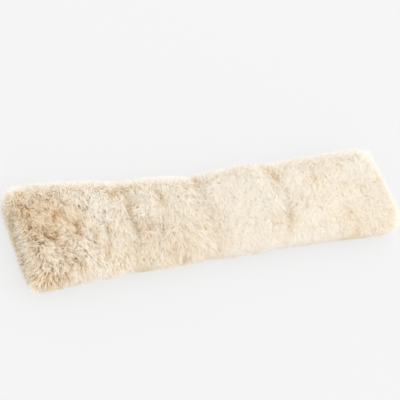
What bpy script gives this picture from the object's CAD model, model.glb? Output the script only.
"""Sheepskin draught excluder: the looks of a long cushion in undyed wool.

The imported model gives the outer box. Here the cushion gets its under-wool, thousands of
locks of wool made of tapering strands, its finishes, a pale floor, soft light and a camera.
Metres, +Z up. +X runs along the cushion and +Y across it, and its face points up.
"""

import logging
import math
from dataclasses import dataclass, field, fields
from enum import Enum
from typing import Any, Iterable, Optional, Sequence, Union

import bpy
import numpy as np
from mathutils import Matrix, Vector, kdtree

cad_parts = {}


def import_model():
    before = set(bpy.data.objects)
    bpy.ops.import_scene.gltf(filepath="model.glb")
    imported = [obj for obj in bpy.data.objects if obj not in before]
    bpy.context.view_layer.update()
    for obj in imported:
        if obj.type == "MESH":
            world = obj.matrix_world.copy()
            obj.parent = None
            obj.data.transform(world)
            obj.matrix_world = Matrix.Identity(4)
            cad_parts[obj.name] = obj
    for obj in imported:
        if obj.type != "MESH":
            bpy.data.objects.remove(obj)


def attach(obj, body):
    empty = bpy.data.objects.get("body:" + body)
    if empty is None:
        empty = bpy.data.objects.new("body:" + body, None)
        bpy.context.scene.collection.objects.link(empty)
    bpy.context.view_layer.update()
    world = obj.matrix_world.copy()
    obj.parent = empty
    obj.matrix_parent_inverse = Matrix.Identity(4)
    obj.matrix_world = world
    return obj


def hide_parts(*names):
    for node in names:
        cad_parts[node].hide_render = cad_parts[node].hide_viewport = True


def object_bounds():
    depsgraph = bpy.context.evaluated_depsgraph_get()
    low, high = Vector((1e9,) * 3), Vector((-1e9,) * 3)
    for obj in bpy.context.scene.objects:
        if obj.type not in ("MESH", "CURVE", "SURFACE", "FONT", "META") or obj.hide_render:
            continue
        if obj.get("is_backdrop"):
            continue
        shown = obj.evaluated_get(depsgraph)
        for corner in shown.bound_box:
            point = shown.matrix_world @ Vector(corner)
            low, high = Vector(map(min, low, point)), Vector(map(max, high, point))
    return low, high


LOG = logging.getLogger("draught_excluder")
FRAME_PIXELS = 400
STRAND_MAP = "OFBake"
MAP_RUN = 0.84
MAP_MARGIN = 0.08
MAP_SLIVER = 0.0018
TINT_RUN = 0.9
TINT_MARGIN = 0.05
LUMP_SEED = 5
SWIRL_SEEDS = (11, 12)
TINT_SEED = 21
STAIN_SEED = 31

Grid = np.ndarray
Span = tuple[float, float]
Triple = tuple[float, float, float]


class Part(Enum):
    """The two parts that each skin's wool is split into."""

    FACE = "face"
    EDGE = "edge"


def unit(vectors: Grid) -> Grid:
    """Scale vectors to length one."""
    return vectors / np.maximum(np.linalg.norm(vectors, axis=-1, keepdims=True), 1e-9)


def ease(values: Grid, low: float, high: float) -> Grid:
    """Rise smoothly from 0 at low to 1 at high."""
    part = np.clip((values - low) / (high - low), 0.0, 1.0)
    return part * part * (3 - 2 * part)


def signed_power(values: Grid, power: float) -> Grid:
    """Raise sizes to a power and keep their signs."""
    return np.sign(values) * np.abs(values) ** power


def tree_of(places: Grid) -> kdtree.KDTree:
    """Make a search tree of places.

    Args:
        places: The places, numbered in their order.

    Returns:
        The tree.
    """
    tree = kdtree.KDTree(len(places))
    for number, place in enumerate(places):
        tree.insert(place, number)
    tree.balance()
    return tree


class Ripple:
    """A smooth random field over space, made of a few seeded waves."""

    def __init__(self, seed: int, size: float, waves: int = 14) -> None:
        """Draw the waves.

        Args:
            seed: Start of the random draws.
            size: Typical length of a swell in metres.
            waves: How many waves are summed.
        """
        rng = np.random.default_rng(seed)
        headings = unit(rng.normal(size=(waves, 3)))
        self.pitch = headings * (math.tau / (size * rng.uniform(1.2, 3.0, (waves, 1))))
        self.phase = rng.uniform(0, math.tau, waves)
        self.scale = math.sqrt(2.0 / waves)

    def __call__(self, places: Grid) -> Grid:
        """The field's value, about -1 to 1, at each place."""
        return np.sin(places @ self.pitch.T + self.phase).sum(-1) * self.scale


@dataclass(frozen=True)
class SideRow:
    """How far the wool reaches from the middle line at one place along the cushion."""

    x: float
    far: float
    near: float


@dataclass(frozen=True)
class Seam:
    """A seam between two skins: where it crosses the far edge, the middle and the near edge."""

    far: float
    middle: float
    near: float

    def place(self, across: Grid) -> Grid:
        """Where the seam lies along the cushion.

        Args:
            across: Place across the cushion, from -1 at the near edge to 1 at the far edge.

        Returns:
            The seam's x at each place.
        """
        bow = self.middle - (self.far + self.near) / 2
        slant = (self.far - self.near) / 2
        return self.middle + slant * across - bow * across * across


@dataclass
class CushionForm:
    """The cushion's own shape, set in by a depth from the tips of its wool."""

    half_length: float
    half_width: float
    height: float
    side_depth: float = 0.026
    top_depth: float = 0.025
    rest_depth: float = 0.003
    rim_share: float = 0.45
    plan_power: float = 18.0
    crown_y_power: float = 0.78
    crown_z_power: float = 0.86
    resting_share: float = 0.80
    end_tuck_power: float = 2.4
    end_thinning: float = 0.09
    panel_bulge: float = 0.003
    seam_depth: float = 0.007
    seam_half_width: float = 0.017
    seam_pinch: float = 0.008
    near_end: float = 0.446
    near_skew: float = 0.065
    near_bow: float = 0.50
    far_end: float = 0.444
    far_skew: float = -0.20
    far_bow: float = 2.20
    end_blend: float = 0.12
    furrow_rise: Span = (0.5, 1.0)
    sides: Sequence[SideRow] = (
        SideRow(-0.46, 0.111, 0.103),
        SideRow(-0.30, 0.104, 0.094),
        SideRow(-0.20, 0.096, 0.092),
        SideRow(-0.05, 0.091, 0.091),
        SideRow(0.02, 0.094, 0.092),
        SideRow(0.10, 0.103, 0.092),
        SideRow(0.145, 0.099, 0.092),
        SideRow(0.25, 0.103, 0.092),
        SideRow(0.46, 0.110, 0.101),
    )
    seams: Sequence[Seam] = (
        Seam(-0.216, -0.222, -0.234),
        Seam(-0.056, -0.047, -0.046),
        Seam(0.108, 0.150, 0.084),
    )
    samples: int = 900

    def __post_init__(self) -> None:
        """Measure the half plan and the section along their outlines."""
        turn = np.linspace(-math.pi / 2, math.pi / 2, self.samples)
        self.plan_x = signed_power(np.sin(turn), 2 / self.plan_power)
        self.plan_share = np.abs(np.cos(turn)) ** (2 / self.plan_power)
        steps = np.hypot(
            np.diff(self.plan_x) * self.core_length, np.diff(self.plan_share) * self.half_width
        )
        self.plan_run = np.concatenate([[0.0], np.cumsum(steps)])
        self.section_y, self.section_z, self.section_run = self.section()

    @property
    def core_length(self) -> float:
        """Half length without the wool."""
        return self.half_length - self.side_depth

    @property
    def core_top(self) -> float:
        """Height of the crown without the wool."""
        return self.height - self.top_depth

    def section(self) -> tuple[Grid, Grid, Grid]:
        """Points of the section: from a contact edge over the crown, then back underneath.

        Returns:
            Shares of the half width, shares of the height, and the run along the section.
        """
        low = np.linspace(0, math.pi / 2, self.samples // 4, endpoint=False)
        wall_y = self.resting_share + (1 - self.resting_share) * np.sin(low)
        wall_z = self.rim_share * (1 - np.cos(low))
        over = np.linspace(0, math.pi, self.samples)
        crown_y = signed_power(np.cos(over), self.crown_y_power)
        crown_z = self.rim_share + (1 - self.rim_share) * np.sin(over) ** self.crown_z_power
        under = np.linspace(-self.resting_share, self.resting_share, self.samples // 2)[1:]
        across = np.concatenate([wall_y, crown_y, -wall_y[::-1], under])
        up = np.concatenate([wall_z, crown_z, wall_z[::-1], np.zeros(len(under))])
        half = self.half_width - self.side_depth
        steps = np.hypot(np.diff(across) * half, np.diff(up) * self.core_top)
        return across, up, np.concatenate([[0.0], np.cumsum(steps)])

    def side_reach(self, x: Grid, far: Grid) -> Grid:
        """How far the wool reaches across, on the far side where far is true.

        Args:
            x: Places along the cushion.
            far: True where the far side is meant.

        Returns:
            The reach from the middle line, in metres.
        """
        places = np.array([row.x for row in self.sides])
        row = np.clip(np.searchsorted(places, x) - 1, 0, len(places) - 2)
        part = ease(x, places[row], places[row + 1])
        reaches = np.array([[row.near, row.far] for row in self.sides])
        side = far.astype(int)
        return reaches[row, side] * (1 - part) + reaches[row + 1, side] * part

    def end_reach(self, x: Grid, y: Grid) -> Grid:
        """How far the wool reaches along the cushion, at the end that x is nearer to.

        Args:
            x: Places along the cushion.
            y: Places across it.

        Returns:
            The reach from the middle, in metres.
        """
        near = self.near_end + self.near_skew * y + self.near_bow * y * y
        far = self.far_end + self.far_skew * y + self.far_bow * y * y
        return np.where(x < 0, near, far)

    def seam_share(self, x: Grid, across: Grid) -> Grid:
        """One on a seam, fading to nothing beside it."""
        away = [(x - seam.place(across)) / self.seam_half_width for seam in self.seams]
        return np.exp(-np.min(np.square(away), axis=0))

    def panel(self, x: Grid, across: Grid) -> Grid:
        """Which skin a place lies on, counted from the near end."""
        return np.sum([x > seam.place(across) for seam in self.seams], axis=0)

    def panel_crown(self, x: Grid) -> Grid:
        """Nothing at a skin's ends and one at its middle.

        Args:
            x: Places along the cushion.

        Returns:
            The share at each place.
        """
        edges = np.array([-self.half_length, *(s.middle for s in self.seams), self.half_length])
        row = np.clip(np.searchsorted(edges, x) - 1, 0, len(edges) - 2)
        return np.sin(math.pi * (x - edges[row]) / (edges[row + 1] - edges[row]))

    def place(self, along: Grid, around: Grid) -> Grid:
        """Points of the cushion's skin.

        Args:
            along: Run along the half plan, as a share from 0 to 1.
            around: Run round the section, as a share from 0 to 1.

        Returns:
            The points, in metres.
        """
        run = along * self.plan_run[-1]
        x = np.interp(run, self.plan_run, self.plan_x) * self.core_length
        share = np.interp(run, self.plan_run, self.plan_share)
        arc = around * self.section_run[-1]
        across = np.interp(arc, self.section_run, self.section_y)
        up = np.interp(arc, self.section_run, self.section_z)
        reach = self.side_reach(x, across > 0) - self.side_depth
        bulge = self.panel_bulge * (self.panel_crown(x) - 0.5)
        pinch = 1 - self.seam_pinch * self.seam_share(x, across)
        y = (reach + bulge) * pinch * share * across
        tuck = 1 - (1 - share) ** self.end_tuck_power
        rise = (up - self.rim_share) * self.core_top
        thinner = 1 - self.end_thinning * (x / self.core_length) ** 4
        rise = np.where(rise > 0, rise * thinner, rise)
        furrow = self.seam_depth * self.seam_share(x, across) * ease(up, *self.furrow_rise)
        z = self.rim_share * self.core_top + rise * tuck - furrow * tuck + self.rest_depth
        shift = self.end_reach(x, y) - self.half_length
        blend = ease(np.abs(x), self.core_length - self.end_blend, self.core_length)
        return np.stack([x + np.sign(x) * shift * blend, y, z], -1)

    def normal(self, along: Grid, around: Grid) -> Grid:
        """Outward directions of the skin, worked out from points close by.

        Args:
            along: Run along the half plan, as a share from 0 to 1.
            around: Run round the section, as a share from 0 to 1.

        Returns:
            The directions, of length one.
        """
        step = 0.002
        low, high = np.clip(along - step, 0, 1), np.clip(along + step, 0, 1)
        left, right = (around - step) % 1, (around + step) % 1
        lengthwise = self.place(high, around) - self.place(low, around)
        crosswise = self.place(along, right) - self.place(along, left)
        return unit(np.cross(crosswise, lengthwise))


@dataclass(frozen=True)
class Shears:
    """The outline that the wool is clipped to, all round."""

    form: CushionForm
    end_zone: float = 0.10
    end_undercut: float = 0.075
    corner_power: float = 20.0
    side_power: float = 2.45
    end_power: float = 4.0
    rest_share: float = 0.83
    furrow: float = 0.004
    soft: float = 0.08
    floor_gap: float = 0.0012

    def share(self, points: Grid, tips: Grid) -> Grid:
        """How far out points lie, as a share of the outline's reach.

        Args:
            points: The points.
            tips: The outline's own size for each point, about 1.

        Returns:
            The shares; 1 is on the outline.
        """
        form = self.form
        x, y, z = points[..., 0], points[..., 1], points[..., 2]
        across = y / form.half_width
        pinch = 1 - form.seam_pinch * form.seam_share(x, across)
        bulge = form.panel_bulge * (form.panel_crown(x) - 0.5)
        reach = (form.side_reach(x, y > 0) + bulge) * pinch
        rim = form.rim_share * form.height
        low = np.clip(1 - z / rim, 0, 1)
        wall = self.rest_share + (1 - self.rest_share) * np.sqrt(1 - low * low)
        side = np.abs(y) / (reach * wall * tips)
        zone = form.end_reach(x, y) - form.half_length + self.end_zone
        zone = zone - form.half_length * (1 - tips) - self.end_undercut * (1 - wall)
        end = np.maximum(np.abs(x) - form.half_length + self.end_zone, 0) / zone
        plan = (end**self.corner_power + side**self.corner_power) ** (1 / self.corner_power)
        furrow = self.furrow * form.seam_share(x, across)
        thinner = 1 - form.end_thinning * np.abs(x / form.half_length) ** 4
        crown = (form.height - rim) * thinner - furrow
        rise = np.maximum(z - rim, 0) / (crown * tips)
        endwise = end**self.corner_power / np.maximum(plan, 1e-6) ** self.corner_power
        power = self.side_power + (self.end_power - self.side_power) * endwise
        return (np.maximum(plan, 1e-6) ** power + rise**power) ** (1 / power)

    def clip(self, points: Grid, tips: Grid) -> Grid:
        """Draw points that reach past the outline back to it, softly.

        Args:
            points: The points.
            tips: The outline's own size for each point, about 1.

        Returns:
            The points, none past the outline and none below the floor.
        """
        start = 1 - self.soft
        for _ in range(2):
            share = self.share(points, tips)
            over = np.maximum(share - start, 0)
            allowed = np.minimum(share, start) + self.soft * (1 - np.exp(-over / self.soft))
            centre = np.zeros_like(points)
            inner = self.form.half_length - self.end_zone
            centre[..., 0] = np.clip(points[..., 0], -inner, inner)
            centre[..., 2] = self.form.rim_share * self.form.height
            scale = np.where(over > 0, allowed / np.maximum(share, 1e-6), 1.0)
            points = centre + (points - centre) * scale[..., None]
        points[..., 2] = np.maximum(points[..., 2], self.floor_gap)
        return points


class Tone:
    """A shader socket on which sums can be written as plain expressions."""

    def __init__(self, nodes: "NodeBench", socket: bpy.types.NodeSocket) -> None:
        """Keep the socket and the bench that adds nodes beside it."""
        self.nodes = nodes
        self.socket = socket

    def math(self, operation: str, first: Any, second: Any = None) -> "Tone":
        """Add one Math node.

        Args:
            operation: The node's operation.
            first: A tone or a number.
            second: A tone or a number, where the operation has two.

        Returns:
            The node's result.
        """
        values = [first] if second is None else [first, second]
        links = dict(enumerate(values))
        return self.nodes.add("ShaderNodeMath", {"operation": operation}, links)

    def __add__(self, other: Any) -> "Tone":
        """Sum."""
        return self.math("ADD", self, other)

    __radd__ = __add__

    def __sub__(self, other: Any) -> "Tone":
        """Difference."""
        return self.math("SUBTRACT", self, other)

    def __rsub__(self, other: Any) -> "Tone":
        """Difference from a number."""
        return self.math("SUBTRACT", other, self)

    def __mul__(self, other: Any) -> "Tone":
        """Product."""
        return self.math("MULTIPLY", self, other)

    __rmul__ = __mul__

    def clamp(self) -> "Tone":
        """Hold the value between 0 and 1."""
        return self.math("MINIMUM", self.math("MAXIMUM", self, 0.0), 1.0)


class NodeBench:
    """Adds nodes to one material."""

    def __init__(self, name: str) -> None:
        """Make an empty material with a Principled shader on its output.

        Args:
            name: The material's name.
        """
        self.material = bpy.data.materials.new(name)
        self.material.use_nodes = True
        self.tree = self.material.node_tree
        self.shader = self.tree.nodes["Principled BSDF"]

    def add(
        self,
        kind: str,
        settings: Optional[dict[str, Any]] = None,
        inputs: Optional[dict[Union[int, str], Any]] = None,
        output: Union[int, str] = 0,
    ) -> Tone:
        """Add a node.

        Args:
            kind: The node's type.
            settings: Its own settings, such as an operation or a ramp's stops.
            inputs: Values or tones for its sockets, by name or number.
            output: The socket that is handed back.

        Returns:
            The chosen output as a tone.
        """
        node = self.tree.nodes.new(kind)
        for name, value in (settings or {}).items():
            if name == "stops":
                self.set_stops(node, value)
            else:
                setattr(node, name, value)
        for name, value in (inputs or {}).items():
            self.feed(node.inputs[name], value)
        return Tone(self, node.outputs[output])

    def feed(self, socket: bpy.types.NodeSocket, value: Any) -> None:
        """Link a tone to a socket, or set a plain value on it.

        Args:
            socket: The socket.
            value: The tone or value.
        """
        if isinstance(value, Tone):
            self.tree.links.new(value.socket, socket)
        else:
            socket.default_value = value

    def set_stops(
        self, node: bpy.types.Node, stops: Iterable[tuple[float, Sequence[float]]]
    ) -> None:
        """Give a colour ramp its stops.

        Args:
            node: The ramp's node.
            stops: The place and colour of each stop.
        """
        elements = node.color_ramp.elements
        rows = list(stops)
        while len(elements) < len(rows):
            elements.new(0.5)
        for element, (place, colour) in zip(elements, rows):
            element.position = place
            element.color = (*colour, 1.0)

    def mix(self, share: Any, first: Any, second: Any, blend: str = "MIX") -> Tone:
        """Mix two colours by a share.

        Args:
            share: How much of the second colour shows.
            first: A colour or a tone.
            second: A colour or a tone.
            blend: The way in which they mix.

        Returns:
            The mixed colour.
        """
        settings = {"data_type": "RGBA", "blend_type": blend}
        colours = [c if isinstance(c, Tone) else (*c, 1.0) for c in (first, second)]
        return self.add("ShaderNodeMix", settings, {0: share, 6: colours[0], 7: colours[1]}, 2)

    def let_through(self, colour: Tone, share: float) -> None:
        """Let a share of the light pass through, as thin wool does.

        Args:
            colour: The colour that the light takes.
            share: How much of it passes.
        """
        through = self.add("ShaderNodeBsdfTranslucent", inputs={"Color": colour})
        sides = {0: share, 1: Tone(self, self.shader.outputs[0]), 2: through}
        mixed = self.add("ShaderNodeMixShader", inputs=sides)
        self.feed(self.tree.nodes["Material Output"].inputs["Surface"], mixed)

    def dress(self, **sockets: Any) -> bpy.types.Material:
        """Feed the shader's sockets, named with underscores, and hand back the material.

        Args:
            sockets: A value or tone for each socket.

        Returns:
            The material.
        """
        for name, value in sockets.items():
            self.feed(self.shader.inputs[name.replace("_", " ").title()], value)
        return self.material


@dataclass(frozen=True)
class WoolFinish:
    """Undyed wool: warm and darker by the skin, pale at the tips, uneven from lock to lock."""

    root: Triple = (0.974, 0.875, 0.62)
    middle: Triple = (0.974, 0.963, 0.936)
    tip: Triple = (0.968, 0.966, 0.958)
    shade: Triple = (0.87, 0.72, 0.43)
    shade_reach: float = 1.12
    shade_strength: float = 1.5
    colour_places: Triple = (0.08, 0.44, 0.88)
    roughness: float = 0.85
    glow: float = 0.60

    def material(self) -> bpy.types.Material:
        """Build the material from each strand's own map: its tint, and how far along it is.

        Returns:
            The material.
        """
        bench = NodeBench("wool_strands")
        spot = bench.add("ShaderNodeUVMap", {"uv_map": STRAND_MAP})
        tint = bench.add("ShaderNodeSeparateXYZ", inputs={0: spot}, output=0)
        run = Tone(bench, tint.socket.node.outputs[1])
        stops = zip(self.colour_places, (self.root, self.middle, self.tip))
        colour = bench.add("ShaderNodeValToRGB", {"stops": stops}, {0: run})
        depth = ((1.0 - tint) * self.shade_strength * (self.shade_reach - run)).clamp()
        shaded = bench.mix(depth, colour, self.shade, "MULTIPLY")
        bench.let_through(shaded, self.glow)
        return bench.dress(base_color=shaded, roughness=self.roughness)


@dataclass(frozen=True)
class UnderwoolFinish:
    """The felted wool close to the skin, seen in the partings."""

    dark: Triple = (0.50, 0.35, 0.17)
    pale: Triple = (0.68, 0.52, 0.30)
    roughness: float = 0.95
    clump: float = 70.0
    fibre: float = 420.0
    clump_share: float = 0.6
    relief: float = 0.002

    def material(self) -> bpy.types.Material:
        """Build the material: matted patches, with fine fibres raised on them.

        Returns:
            The material.
        """
        bench = NodeBench("underwool")
        where = bench.add("ShaderNodeTexCoord", output="Object")
        patch = bench.add("ShaderNodeTexNoise", inputs={"Vector": where, "Scale": self.clump})
        fibre = bench.add("ShaderNodeTexNoise", inputs={"Vector": where, "Scale": self.fibre})
        matted = (patch * self.clump_share + fibre * (1 - self.clump_share)).clamp()
        colour = bench.mix(matted, self.dark, self.pale)
        raised = bench.add("ShaderNodeBump", inputs={"Height": fibre + patch, "Distance": self.relief})
        return bench.dress(base_color=colour, roughness=self.roughness, normal=raised)


@dataclass(frozen=True)
class FloorFinish:
    """A plain pale floor."""

    colour: Triple = (0.12, 0.1205, 0.122)
    glow: float = 0.685
    roughness: float = 0.9

    def material(self) -> bpy.types.Material:
        """Build the material."""
        bench = NodeBench("floor")
        return bench.dress(
            base_color=(*self.colour, 1.0),
            roughness=self.roughness,
            emission_color=(1.0, 1.0, 1.0, 1.0),
            emission_strength=self.glow,
        )


def join_part(piece: bpy.types.Object) -> bpy.types.Object:
    """Let a piece ride on the cushion's body, stand for its solid and take its finish slot.

    Args:
        piece: A piece of the cushion.

    Returns:
        The same piece.
    """
    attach(piece, "root")
    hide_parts("sheepskin_cushion")
    return piece


@dataclass
class Casing:
    """The filled cushion under its wool: one closed, lumpy form."""

    form: CushionForm
    finish: UnderwoolFinish = UnderwoolFinish()
    swell: float = 0.0065
    lump: float = 0.002
    lump_size: float = 0.030
    end_gap: float = 0.012
    flank_fade: Span = (0.2, 0.7)
    stations: int = 210
    columns: int = 110

    def points(self) -> Grid:
        """The form's points in closed rings.

        Returns:
            The points, one row for each ring.
        """
        along = np.linspace(self.end_gap, 1 - self.end_gap, self.stations)[:, None]
        around = np.linspace(0.0, 1.0, self.columns, endpoint=False)[None, :]
        along, around = np.broadcast_arrays(along, around)
        skin = self.form.place(along, around)
        normal = self.form.normal(along, around)
        lumps = Ripple(LUMP_SEED, self.lump_size)(skin) * self.lump
        flank = 1 - ease(np.abs(normal[..., 0]), *self.flank_fade)
        raised = skin + normal * ((self.swell + lumps) * flank)[..., None]
        raised[..., 2] = np.maximum(raised[..., 2], self.form.rest_depth)
        return raised

    def build(self) -> bpy.types.Object:
        """Returns:
            The casing.
        """
        rings = self.points()
        count, around = rings.shape[:2]
        ring = np.arange(count - 1)[:, None] * around
        column = np.arange(around)[None, :]
        following = (column + 1) % around
        quads = np.stack(
            [ring + column, ring + following, ring + around + following, ring + around + column], -1
        ).reshape(-1, 4)
        verts = rings.reshape(-1, 3)
        ends = [rings[0].mean(0), rings[-1].mean(0)]
        first = len(verts)
        fans = []
        for i in range(around):
            j = (i + 1) % around
            fans.append((j, i, first))
            last = (count - 1) * around
            fans.append((last + i, last + j, first + 1))
        mesh = bpy.data.meshes.new("casing")
        corners = [tuple(q) for q in quads.tolist()] + fans
        mesh.from_pydata(np.vstack([verts, ends]).tolist(), [], corners)
        mesh.shade_smooth()
        mesh.materials.append(self.finish.material())
        piece = bpy.data.objects.new("casing", mesh)
        bpy.context.scene.collection.objects.link(piece)
        join_part(piece)
        return piece


@dataclass(frozen=True)
class Parting:
    """A short line on the cushion's face along which the wool parts, turned by some degrees."""

    x: float
    y: float
    length: float
    turn: float
    width: float = 0.009
    depth: float = 1.0
    lowest: float = 0.03

    def pull(self, root: Grid) -> tuple[Grid, Grid]:
        """How locks near the line are drawn away from it.

        Args:
            root: The locks' roots.

        Returns:
            How strongly each lock is drawn, and the direction it goes.
        """
        angle = math.radians(self.turn)
        line = np.array([math.cos(angle), math.sin(angle)])
        away = root[:, :2] - (self.x, self.y)
        run = np.clip(away @ line, -self.length / 2, self.length / 2)
        away = away - run[:, None] * line
        near = np.exp(-np.square(np.linalg.norm(away, axis=1) / self.width))
        near = near * (root[:, 2] > self.lowest)
        flat = np.concatenate([unit(away), np.zeros((len(root), 1))], axis=1)
        return near * self.depth, flat


@dataclass(frozen=True)
class Layer:
    """One kind of strand in every lock.

    Reach is a share of the lock's length, spread of its radius, and stray of its strands.
    Clump draws the strands together, and pale is how far they take on the tips' colour.
    """

    strands: int
    segments: int
    reach: float
    spread: float
    clump: float
    width: float
    stray: float
    pale: float = 1.0


@dataclass
class Locks:
    """The roots of the locks and how each lies, one row for each lock."""

    root: Grid
    normal: Grid
    lean: Grid
    draw: Grid
    length: Grid
    crisp: Grid
    tint: Grid
    parted: Grid
    skin: Grid
    face: Grid

    def some(self, which: Grid) -> "Locks":
        """The locks that a mask picks."""
        return Locks(*(getattr(self, item.name)[which] for item in fields(self)))


@dataclass
class Strands:
    """Middle lines of strands, with their side directions and tints."""

    line: Grid
    across: Grid
    tint: Grid
    width: float
    pale: float


@dataclass
class Fleece:
    """The wool: locks that grow from the skins, in tufts with partings between them."""

    form: CushionForm
    shears: Shears
    finish: WoolFinish = WoolFinish()
    seed: int = 41
    tuft_size: float = 0.015
    length: float = 0.036
    lock_radius: float = 0.0043
    fluff: float = 0.85
    end_comb: float = 0.45
    bend_from: float = 0.85
    bend_late: float = 1.0
    stand: float = 0.22
    stand_crisp: float = 0.42
    draw: float = 0.05
    draw_wild: float = 0.18
    tuft_turn: float = 0.06
    tuft_wild: float = 0.20
    lock_turn: float = 0.08
    lock_wild: float = 0.40
    strand_turn: float = 0.65
    strand_crisp: float = -0.50
    calm: float = 0.7
    turns: float = 0.8
    turns_crisp: float = 1.3
    curl: float = 0.0006
    curl_crisp: float = 0.0021
    parting_draw: float = 0.005
    parting_calm: float = 0.8
    parting_lean: float = 1.3
    parting_tint: float = 1.10
    far_pale: float = 0.09
    near_tan: float = 0.07
    low_tan: float = 0.50
    seam_tan: float = 0.10
    end_tan: float = 0.14
    crisp_tan: float = 0.07
    side_tan: float = 0.50
    patch_tan: float = 0.46
    patch_middle: Span = (-0.385, 0.033)
    patch_size: Span = (0.062, 0.048)
    patch_edge: Span = (0.060, 0.090)
    near_side: Span = (-0.05, 0.03)
    near_half: Span = (-0.10, 0.25)
    far_side: Span = (0.02, 0.08)
    near_end_tan: float = 0.11
    far_end_tan: float = 0.04
    ends: Span = (0.30, 0.42)
    stain_size: float = 0.024
    stain_lift: float = 0.012
    stain_side: Span = (0.0, 0.05)
    stain_heights: Span = (-0.034, -0.010)
    stain_fade: float = 0.6
    stain_ends: Span = (0.38, 0.44)
    stain_spots: Span = (0.2, 1.0)
    base_tint: float = 0.90
    tint_swell: float = 0.04
    tint_size: float = 0.16
    tint_wander: float = 0.02
    tint_wander_crisp: float = 0.05
    tint_span: Span = (0.05, 0.95)
    tuft_tint: float = 0.03
    strand_tint: float = 0.05
    strand_span: Span = (0.03, 0.97)
    space_places: Sequence[float] = (-0.46, -0.22, -0.05, 0.10)
    spaces: Sequence[float] = (0.0050, 0.0053, 0.0058, 0.0060)
    jitter: float = 0.42
    fewest: int = 3
    least_share: float = 0.1
    lowest_facing: float = -0.6
    tuft_sizes: Span = (0.75, 1.2)
    crisp_places: Sequence[float] = (-0.46, -0.36, -0.30, -0.20, -0.10, 0.0, 0.10, 0.20)
    crisp_along: Sequence[float] = (1, 0.88, 0.56, 0.40, 0.37, 0.33, 0.25, 0.0)
    smooth_side: Span = (-0.01, 0.06)
    smooth: float = 0.55
    smoother: float = 0.25
    smoother_from: Span = (-0.42, -0.30)
    face_facing: Span = (0.25, 0.85)
    end_facing: Span = (0.45, 0.9)
    end_calm: float = 0.75
    calm_from: Span = (-0.38, -0.22)
    comb: float = 0.87
    comb_along: float = -0.30
    swirl: float = 0.15
    swirl_size: float = 0.10
    lock_lengths: Span = (0.84, 1.08)
    tuft_lengths: Span = (0.88, 1.10)
    strand_lengths: Span = (0.80, 1.06)
    seam_short: float = 0.15
    parting_short: float = 0.42
    crisp_short: float = 0.24
    least_turn: float = 0.10
    stray_turn: float = 0.50
    stray_hold: float = 0.3
    stray_reach: float = 0.02
    bend_pace: float = 1.25
    stand_hold: float = 0.4
    hold: float = 0.55
    hold_crisp: float = 0.45
    hold_power: float = 0.8
    draw_power: float = 1.4
    turn_range: Span = (0.8, 1.2)
    curl_range: Span = (0.5, 1.3)
    curl_power: float = 1.2
    curl_depth: float = 0.7
    phase_wander: float = 0.25
    tip_reach: float = 0.985
    tip_wander: float = 0.012
    tip_span: Span = (0.95, 1.03)
    twist: float = 0.12
    twist_crisp: float = 0.4
    taper: float = 0.45
    taper_power: float = 1.5
    curled: Layer = Layer(7, 8, 1.0, 0.75, 0.80, 0.0008, 0.05)
    wavy: Layer = Layer(9, 6, 1.0, 0.9, 0.72, 0.0007, 0.06)
    soft: Layer = Layer(14, 4, 1.12, 2.6, 0.0, 0.0007, 0.05)
    down: Layer = Layer(7, 2, 0.92, 1.6, 0.0, 0.0022, 0.60, 0.78)
    lining: Layer = Layer(7, 2, 0.76, 1.8, 0.0, 0.0022, 0.20, 0.85)
    partings: Sequence[Parting] = (
        Parting(-0.221, 0.048, 0.035, 80, 0.007, 0.60),
        Parting(-0.224, 0.010, 0.030, 95, depth=0.25),
        Parting(-0.245, 0.056, 0.014, 40, 0.007, 0.45),
        Parting(-0.190, -0.012, 0.012, 60, 0.006, 0.35),
        Parting(-0.150, 0.038, 0.012, 80, 0.008, 0.5),
        Parting(-0.116, -0.074, 0.024, -75, 0.006, 0.5),
        Parting(-0.047, 0.061, 0.012, 10, 0.006, 0.4),
        Parting(-0.284, -0.004, 0.012, 70, 0.006, 0.35),
        Parting(0.133, 0.067, 0.034, -45, 0.007, 0.55),
        Parting(0.151, 0.035, 0.024, -80, 0.007, 0.5),
        Parting(0.188, 0.005, 0.016, -60, 0.007, 0.55),
        Parting(0.145, -0.026, 0.018, 75, 0.007, 0.8),
        Parting(0.104, -0.025, 0.012, 60, 0.007, 0.35),
        Parting(0.232, 0.040, 0.010, 45, 0.007, 0.4),
        Parting(0.295, -0.034, 0.018, 30, 0.008, 0.35),
        Parting(0.321, -0.067, 0.014, 0, 0.007, 0.45),
        Parting(0.354, 0.007, 0.010, 60, 0.007, 0.35),
        Parting(-0.436, 0.036, 0.030, 68, 0.007, 0.6),
        Parting(-0.385, 0.028, 0.030, 60, 0.009, 0.3),
        Parting(-0.400, 0.000, 0.018, -40, 0.009, 0.4),
        Parting(-0.345, 0.005, 0.020, 70, 0.009, 0.4),
        Parting(-0.360, -0.050, 0.030, -30, 0.009, 0.2),
        Parting(-0.314, -0.018, 0.018, 80, 0.008, 0.2),
        Parting(-0.400, -0.072, 0.030, 0, 0.009, 0.3),
        Parting(-0.295, -0.040, 0.022, 60, 0.008, 0.3),
    )
    rng: np.random.Generator = field(init=False)

    def __post_init__(self) -> None:
        """Start the random draws."""
        self.rng = np.random.default_rng(self.seed)

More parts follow.
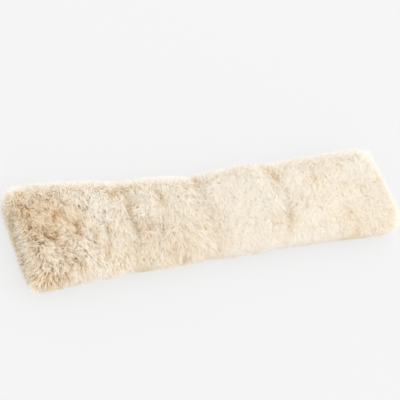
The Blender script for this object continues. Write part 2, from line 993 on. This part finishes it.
    def roots(self) -> tuple[Grid, Grid]:
        """Places for the locks, evenly spread but jittered, as runs along and around.

        Returns:
            The runs along the cushion and around its section, from 0 to 1.
        """
        form = self.form
        step = np.interp(form.plan_x * form.core_length, self.space_places, self.spaces)
        rows = np.concatenate([[0.0], np.cumsum(np.diff(form.plan_run) / step[:-1])])
        total = int(rows[-1])
        along, around = [], []
        for row in range(total):
            run = np.interp((row + 0.5) * rows[-1] / total, rows, form.plan_run)
            share = np.interp(run, form.plan_run, form.plan_share)
            space = np.interp(run, form.plan_run, step)
            around_run = form.section_run[-1] * max(share, self.least_share)
            count = max(self.fewest, int(around_run / space))
            jitter = self.rng.uniform(-self.jitter, self.jitter, (2, count))
            along.append((run + jitter[0] * space) / form.plan_run[-1])
            around.append((np.arange(count) + 0.5 + jitter[1]) / count)
        runs, turns = np.clip(np.concatenate(along), 0, 1), np.concatenate(around) % 1
        free = form.normal(runs, turns)[:, 2] > self.lowest_facing
        return runs[free], turns[free]

    def tufts(self, root: Grid) -> tuple[Grid, Grid]:
        """Group the locks in tufts.

        Args:
            root: The locks' roots.

        Returns:
            Each lock's tuft number, and the tufts' middles.
        """
        order = self.rng.permutation(len(root))
        middles: list[int] = []
        tree = tree_of(root)
        free = np.ones(len(root), bool)
        for number in order:
            if not free[number]:
                continue
            middles.append(number)
            size = self.tuft_size * self.rng.uniform(*self.tuft_sizes)
            for _, other, _ in tree.find_range(root[number], size):
                free[other] = False
        centres = root[middles]
        near = tree_of(centres)
        return np.array([near.find(place)[1] for place in root]), centres

    def crispness(self, root: Grid) -> Grid:
        """How tightly the wool curls: most at the near end, least at the far end.

        Args:
            root: The locks' roots.

        Returns:
            The crispness of each lock, from 0 to 1.
        """
        x, y = root[:, 0], root[:, 1]
        along = np.interp(x, self.crisp_places, self.crisp_along)
        calm = self.smooth + self.smoother * ease(x, *self.smoother_from)
        return np.clip(along * (1 - ease(y, *self.smooth_side) * calm), 0.0, 1.0)

    def tan(self, root: Grid) -> Grid:
        """How much darker the wool is: most in a patch on the face by the near end.

        Args:
            root: The locks' roots.

        Returns:
            What each lock loses of its tint.
        """
        x, y = root[:, 0], root[:, 1]
        (from_x, from_y), (size_x, size_y) = self.patch_middle, self.patch_size
        patch = np.exp(-np.square((x - from_x) / size_x) - np.square((y - from_y) / size_y))
        patch = patch * (1 - ease(y, *self.patch_edge))
        near = self.near_tan * ease(-y, *self.near_side) * ease(-x, *self.near_half)
        ends = self.near_end_tan * ease(-x, *self.ends) + self.far_end_tan * ease(x, *self.ends)
        return ends + self.patch_tan * patch + near

    def low_patches(self, root: Grid) -> Grid:
        """Where the wool by the floor is stained, in patches.

        Args:
            root: The locks' roots.

        Returns:
            The stain at each lock, from 0 to 1.
        """
        lift = self.stain_lift * ease(-root[:, 1], *self.stain_side)
        low = ease(lift - root[:, 2], *self.stain_heights)
        low *= 1 - self.stain_fade * ease(np.abs(root[:, 0]), *self.stain_ends)
        return low * ease(Ripple(STAIN_SEED, self.stain_size)(root), *self.stain_spots)

    def locks(self) -> Locks:
        """Lay out every lock.

        Returns:
            The locks.
        """
        along, around = self.roots()
        root = self.form.place(along, around)
        normal = self.form.normal(along, around)
        tuft, centres = self.tufts(root)
        count, groups = len(root), len(centres)
        rng = self.rng
        upward = ease(normal[:, 2], *self.face_facing)
        endward = ease(-normal[:, 0], *self.end_facing) * (1 - upward)
        crisp = self.crispness(root) * (1 - self.end_calm * endward)
        outward = unit(normal * (1, 1, 0) + 1e-6)
        swirl_x = Ripple(SWIRL_SEEDS[0], self.swirl_size)(centres)[tuft]
        swirl_y = Ripple(SWIRL_SEEDS[1], self.swirl_size)(centres)[tuft]
        turn = rng.normal(size=(groups, 3))[tuft]
        own = rng.normal(size=(count, 3))
        combed = np.cross((1.0, 0.0, 0.0), normal) * self.comb
        combed[:, 0] += (self.swirl * swirl_x + self.comb_along) * upward
        combed[:, 1] += self.swirl * swirl_y * upward - self.end_comb * np.abs(normal[:, 0])
        lean = combed + outward * (self.fluff * (1 - upward))[:, None]
        wild = crisp * (1 - self.calm * ease(root[:, 0], *self.calm_from))
        lean += turn * (self.tuft_turn + self.tuft_wild * wild)[:, None]
        lean += own * (self.lock_turn + self.lock_wild * wild)[:, None]
        across = root[:, 1] / self.form.half_width
        seam = self.form.seam_share(root[:, 0], across)
        corner = 1 / np.maximum(np.abs(outward[:, 0]), np.abs(outward[:, 1]))
        length = self.length * (1 + (corner - 1) * (1 - upward))
        length = length * rng.uniform(*self.lock_lengths, count)
        length = length * rng.uniform(*self.tuft_lengths, groups)[tuft]
        tint = self.base_tint + self.tint_swell * Ripple(TINT_SEED, self.tint_size)(root)
        tint = tint + rng.normal(0, self.tint_wander + self.tint_wander_crisp * crisp)
        tint += rng.normal(0, self.tuft_tint, groups)[tuft] - self.crisp_tan * crisp
        shown = self.side_tan + (1 - self.side_tan) * upward
        tint -= self.tan(root) * shown + self.seam_tan * seam
        tint += self.far_pale * ease(root[:, 1], *self.far_side)
        tint -= self.low_tan * self.low_patches(root) + self.end_tan * endward
        parted = np.zeros(count)
        pushed = np.zeros((count, 3))
        for parting in self.partings:
            strength, way = parting.pull(root)
            parted = np.maximum(parted, strength)
            pushed += way * strength[:, None]
        lean = unit(lean) + self.parting_lean * pushed
        tint -= self.parting_tint * parted
        length = length * (1 - self.seam_short * seam) * (1 - self.parting_short * parted)
        return Locks(
            root=root,
            normal=normal,
            lean=unit(lean),
            draw=(centres[tuft] - root) * (self.draw + self.draw_wild * wild)[:, None]
            + self.parting_draw * pushed,
            length=length * (1 - self.crisp_short * crisp),
            crisp=crisp,
            tint=np.clip(tint, *self.tint_span),
            parted=parted,
            skin=self.form.panel(root[:, 0], across),
            face=upward > 0.5,
        )

    def grow(self, locks: Locks, layer: Layer) -> Strands:
        """Work out the strands of one layer.

        Args:
            locks: The locks they belong to.
            layer: How many there are and how they lie.

        Returns:
            The strands.
        """
        rng, many, steps = self.rng, layer.strands, layer.segments
        count = len(locks.root)
        t = np.linspace(0, 1, steps + 1)
        fly = rng.random((count, many)) < layer.stray
        spread = self.lock_radius * layer.spread * np.sqrt(rng.random((count, many)))
        angle = rng.uniform(0, math.tau, (count, many))[..., None]
        side = unit(np.cross(locks.normal, locks.lean))
        other = np.cross(side, locks.normal)
        radial = np.cos(angle) * side[:, None] + np.sin(angle) * other[:, None]
        loose = self.strand_turn + self.strand_crisp * locks.crisp[:, None]
        loose = np.maximum(loose, self.least_turn)
        loose = loose * (1 - self.parting_calm * locks.parted[:, None])
        own = rng.normal(size=(count, many, 3)) * np.where(fly, self.stray_turn, loose)[..., None]
        late = (self.bend_from + self.bend_late * locks.crisp)[:, None, None, None]
        bend = np.clip((t[:-1] + 0.5 / steps) * self.bend_pace, 0, 1)[:, None] ** late
        stand = (self.stand + self.stand_crisp * locks.crisp)[:, None, None, None]
        heading = (
            locks.normal[:, None, None] * (1 - bend * (1 - stand))
            + (locks.lean[:, None, None] + own[:, :, None]) * bend * (1 - self.stand_hold * stand)
        )
        heading = unit(heading)
        length = layer.reach * locks.length[:, None]
        length = length * rng.uniform(*self.strand_lengths, (count, many))
        pace = heading * (length / steps)[..., None, None]
        line = np.concatenate([np.zeros((count, many, 1, 3)), np.cumsum(pace, axis=2)], axis=2)
        hold = layer.clump * (self.hold + self.hold_crisp * locks.crisp[:, None])
        gather = (hold * np.where(fly, self.stray_hold, 1.0))[..., None] * t**self.hold_power
        line += locks.root[:, None, None]
        line += (radial * spread[..., None])[:, :, None] * (1 - gather)[..., None]
        line += locks.draw[:, None, None] * (t**self.draw_power)[:, None]
        turns = (self.turns + self.turns_crisp * locks.crisp)[:, None, None]
        turns = turns * rng.uniform(*self.turn_range, (count, 1, 1))
        phase = rng.uniform(0, math.tau, (count, 1, 1))
        phase = phase + rng.normal(0, self.phase_wander, (count, many, 1))
        wave = math.tau * turns * t + phase
        curl = (self.curl + self.curl_crisp * locks.crisp) * rng.uniform(*self.curl_range, count)
        size = (curl[:, None, None] * t**self.curl_power)[..., None]
        line += size * np.cos(wave)[..., None] * side[:, None, None]
        line += size * np.sin(wave)[..., None] * other[:, None, None] * self.curl_depth
        tint = locks.tint[:, None] + rng.normal(0, self.strand_tint, (count, many))
        tips = rng.normal(self.tip_reach, self.tip_wander, (count, many, 1))
        tips = tips + np.where(fly, self.stray_reach, 0.0)[..., None]
        line = self.shears.clip(line, np.clip(tips, *self.tip_span))
        line = line.reshape(-1, steps + 1, 3)
        along = np.gradient(line, axis=1)
        normal = np.repeat(locks.normal, many, axis=0)[:, None]
        twisted = np.repeat(self.twist + self.twist_crisp * locks.crisp, many)[:, None, None]
        twist = rng.normal(size=(count * many, 1, 3)) * twisted
        across = unit(np.cross(along, normal + twist))
        tint = np.clip(tint.reshape(-1), *self.strand_span)
        return Strands(line, across, tint, layer.width, layer.pale)

    def weave(self, name: str, layers: Sequence[Strands]) -> bpy.types.Object:
        """Make one piece of wool: each strand a tapering ribbon that ends in a point.

        Args:
            name: The piece's name.
            layers: The strands of each layer.

        Returns:
            The piece.
        """
        verts, loops, totals, maps = [], [], [], []
        first = 0
        for strands in layers:
            count, steps = strands.line.shape[0], strands.line.shape[1] - 1
            t = np.linspace(0, 1, steps + 1)
            width = strands.width / 2 * (1 - self.taper * t[:-1] ** self.taper_power)
            shift = strands.across[:, :-1] * width[:, None]
            pairs = np.stack([strands.line[:, :-1] - shift, strands.line[:, :-1] + shift], 2)
            body = pairs.reshape(count, steps * 2, 3)
            verts.append(np.concatenate([body, strands.line[:, -1:]], axis=1).reshape(-1, 3))
            each = steps * 2 + 1
            ladder = [(2 * i, 2 * i + 1, 2 * i + 3, 2 * i + 2) for i in range(steps - 1)]
            point = [each - 3, each - 2, each - 1]
            corners = np.array([corner for quad in ladder for corner in quad] + point)
            loops.append((corners[None] + np.arange(count)[:, None] * each + first).ravel())
            totals.append(np.tile(np.array([4] * (steps - 1) + [3]), count))
            v = np.append(np.repeat(t, 2)[: each - 1], 1.0) * MAP_RUN * strands.pale + MAP_MARGIN
            u = np.where(np.arange(each) % 2 == 0, -MAP_SLIVER, MAP_SLIVER)
            tints = strands.tint[:, None] * TINT_RUN + TINT_MARGIN + u[corners]
            runs = np.broadcast_to(v[corners], tints.shape)
            maps.append(np.stack([tints, runs], -1).reshape(-1, 2))
            first += count * each
        mesh = bpy.data.meshes.new(name)
        places, corner, total = np.concatenate(verts), np.concatenate(loops), np.concatenate(totals)
        mesh.vertices.add(len(places))
        mesh.vertices.foreach_set("co", places.astype(np.float32).ravel())
        mesh.loops.add(len(corner))
        mesh.loops.foreach_set("vertex_index", corner.astype(np.int32))
        mesh.polygons.add(len(total))
        starts = np.concatenate([[0], np.cumsum(total)[:-1]])
        mesh.polygons.foreach_set("loop_start", starts.astype(np.int32))
        mesh.polygons.foreach_set("loop_total", total.astype(np.int32))
        layer = mesh.uv_layers.new(name=STRAND_MAP)
        layer.uv.foreach_set("vector", np.concatenate(maps).astype(np.float32).ravel())
        mesh.update(calc_edges=True)
        mesh.shade_smooth()
        mesh.materials.append(bpy.data.materials["wool_strands"])
        piece = bpy.data.objects.new(name, mesh)
        bpy.context.scene.collection.objects.link(piece)
        LOG.info("%s: %d triangles", name, int((total - 2).sum()))
        return join_part(piece)

    def build(self) -> list[bpy.types.Object]:
        """Make the wool, one piece for the face and one for the edge of each skin.

        Returns:
            The pieces.
        """
        self.finish.material()
        locks = self.locks()
        LOG.info("%d locks", len(locks.root))
        made = []
        kinds = (
            (self.curled, self.down),
            (self.wavy, self.down),
            (self.soft, self.lining),
            (self.soft, self.lining),
        )
        for number, kind in enumerate(kinds):
            for part in Part:
                own = locks.some((locks.skin == number) & (locks.face == (part is Part.FACE)))
                layers = [self.grow(own, layer) for layer in kind]
                made.append(self.weave(f"wool_{part.value}_{number + 1}", layers))
        return made


@dataclass
class Studio:
    """Floor, soft light and the camera."""

    floor: FloorFinish = FloorFinish()
    floor_size: float = 14.0
    sky: float = 1.34
    sun: float = 1.05
    sun_spread: float = 75.0
    sun_from: Triple = (0.25, -0.06, 1.0)
    sun_colour: Triple = (1.0, 0.985, 0.96)
    bounces: int = 24
    camera_at: Triple = (-1.3762, -0.5252, 1.8035)
    camera_right: Triple = (0.8037, -0.2963, 0.5159)
    camera_up: Triple = (0.1026, 0.9232, 0.3705)
    focal_pixels: float = 1170.0
    sensor: float = 36.0

    def lay_floor(self) -> bpy.types.Object:
        """Lay the floor and mark it as the stage.

        Returns:
            The floor.
        """
        half = self.floor_size / 2
        mesh = bpy.data.meshes.new("floor")
        corners = [(-half, -half, 0), (half, -half, 0), (half, half, 0), (-half, half, 0)]
        mesh.from_pydata(corners, [], [(0, 1, 2, 3)])
        mesh.materials.append(self.floor.material())
        floor = bpy.data.objects.new("floor", mesh)
        bpy.context.scene.collection.objects.link(floor)
        floor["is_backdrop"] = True
        return floor

    def light(self) -> None:
        """Add an even sky and one broad soft light from above."""
        scene = bpy.context.scene
        world = bpy.data.worlds.new("sky")
        world.use_nodes = True
        world.node_tree.nodes["Background"].inputs["Color"].default_value = (1.0, 1.0, 1.0, 1.0)
        world.node_tree.nodes["Background"].inputs["Strength"].default_value = self.sky
        scene.world = world
        data = bpy.data.lights.new("sun", "SUN")
        data.energy = self.sun
        data.angle = math.radians(self.sun_spread)
        data.color = self.sun_colour
        lamp = bpy.data.objects.new("sun", data)
        lamp.rotation_euler = Vector(self.sun_from).to_track_quat("Z", "Y").to_euler()
        scene.collection.objects.link(lamp)
        scene.view_settings.view_transform = "Standard"
        scene.cycles.max_bounces = self.bounces
        scene.cycles.diffuse_bounces = self.bounces
        scene.cycles.transmission_bounces = self.bounces

    def set_camera(self) -> bpy.types.Object:
        """Set the camera at the photograph's angle to the cushion's face.

        Returns:
            The camera.
        """
        data = bpy.data.cameras.new("camera")
        data.sensor_width = self.sensor
        data.lens = self.focal_pixels / FRAME_PIXELS * self.sensor
        right = Vector(self.camera_right).normalized()
        up = Vector(self.camera_up)
        up = (up - right * up.dot(right)).normalized()
        turn = Matrix((right, up, right.cross(up))).transposed().to_4x4()
        camera = bpy.data.objects.new("camera", data)
        camera.matrix_world = Matrix.Translation(self.camera_at) @ turn
        bpy.context.scene.collection.objects.link(camera)
        bpy.context.scene.camera = camera
        return camera

    def build(self) -> None:
        """Set up the whole studio."""
        self.lay_floor()
        self.light()
        self.set_camera()


def main() -> None:
    """Build the cushion's looks and the studio round it."""
    logging.basicConfig(level=logging.INFO, format="%(name)s: %(message)s")
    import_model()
    low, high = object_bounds()
    form = CushionForm(half_length=high.x, half_width=high.y, height=high.z)
    casing = Casing(form).build()
    LOG.info("%s: %d faces", casing.name, len(casing.data.polygons))
    Fleece(form, Shears(form)).build()
    Studio().build()
    low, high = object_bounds()
    LOG.info("visual box %s %s", tuple(low), tuple(high))


if __name__ == "__main__":
    main()
